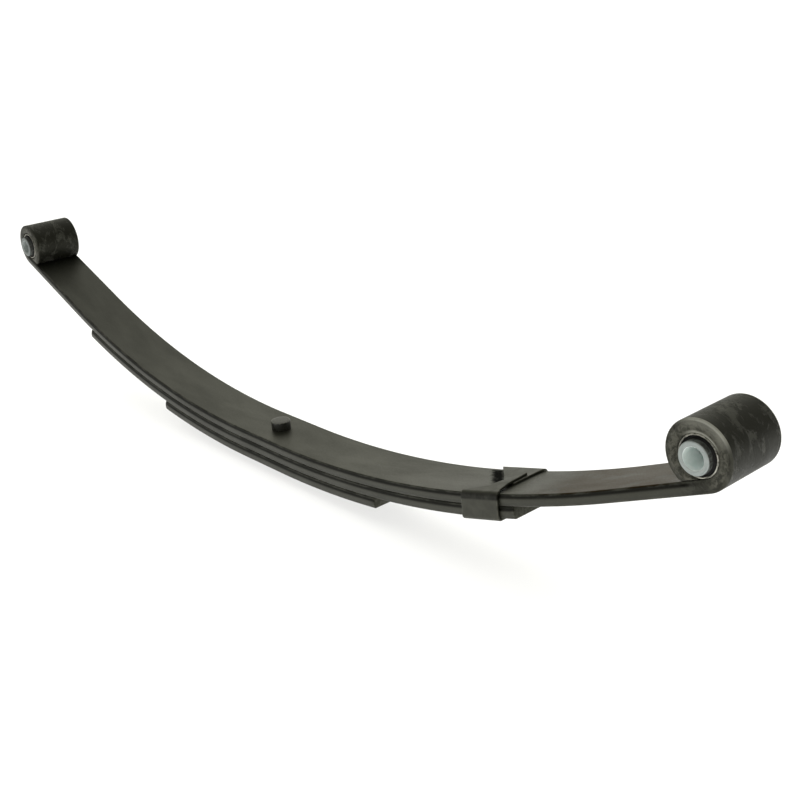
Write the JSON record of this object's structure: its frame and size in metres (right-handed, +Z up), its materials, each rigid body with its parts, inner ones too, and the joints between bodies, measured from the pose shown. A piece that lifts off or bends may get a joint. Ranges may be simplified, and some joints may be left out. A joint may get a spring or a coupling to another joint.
{
  "type": "leaf spring",
  "caption": "Semi-elliptic leaf spring: stacked curved steel leaves on a centre bolt, upturned eyes with bonded rubber bushings, and a folded rebound clip.",
  "frame": {"origin": "on the centre bolt's axis, on the main leaf's flat top face, where the axle's spring pad sits", "axes": "+X along the spring towards the front eye, the one beside the rebound clip; +Y across the leaves; +Z up, out of the main leaf's top face"},
  "size_m": [0.8392, 0.052, 0.1553],
  "materials": {
    "leaf_paint": "satin dark olive-black dip paint over rolled spring steel",
    "clip_paint": "the same paint, slightly darker",
    "bolt_steel": "black oxide with bright worn edges",
    "shell_steel": "thin plain steel, semi-bright rim",
    "bushing_rubber": "matt black moulded rubber",
    "sleeve_zinc": "light bluish zinc plating"
  },
  "bodies": {
    "leaf_pack": {"main_leaf": "leaf_paint", "second_leaf": "leaf_paint", "third_leaf": "leaf_paint", "center_bolt": "bolt_steel", "center_nut": "bolt_steel"},
    "front_arm": {"front_bushing_shell": "shell_steel", "front_bushing_rubber": "bushing_rubber", "rebound_clip": "clip_paint", "clip_rivet": "clip_paint"},
    "rear_arm": {"rear_bushing_shell": "shell_steel", "rear_bushing_rubber": "bushing_rubber"},
    "front_sleeve": {"front_inner_sleeve": "sleeve_zinc"},
    "rear_sleeve": {"rear_inner_sleeve": "sleeve_zinc"}
  },
  "joints": [
    {"name": "front_arm_flex", "type": "hinge", "parent": "leaf_pack", "child": "front_arm", "pos_m": [0.1312, 0, -0.0055], "axis": [0, 1, 0], "range_deg": [-2, 10], "stiffness_Nm_per_rad": 2600, "deforming": ["main_leaf", "second_leaf", "third_leaf"]},
    {"name": "rear_arm_flex", "type": "hinge", "parent": "leaf_pack", "child": "rear_arm", "pos_m": [-0.13136, 0, -0.0043], "axis": [0, -1, 0], "range_deg": [-2, 10], "stiffness_Nm_per_rad": 2600, "deforming": ["main_leaf", "second_leaf", "third_leaf"]},
    {"name": "front_bushing_twist", "type": "hinge", "parent": "front_arm", "child": "front_sleeve", "pos_m": [0.41262, 0, 0.10282], "axis": [0, 1, 0], "range_deg": [-20, 20], "stiffness_Nm_per_rad": 30},
    {"name": "rear_bushing_twist", "type": "hinge", "parent": "rear_arm", "child": "rear_sleeve", "pos_m": [-0.38618, 0, 0.10222], "axis": [0, 1, 0], "range_deg": [-25, 25], "stiffness_Nm_per_rad": 30}
  ]
}
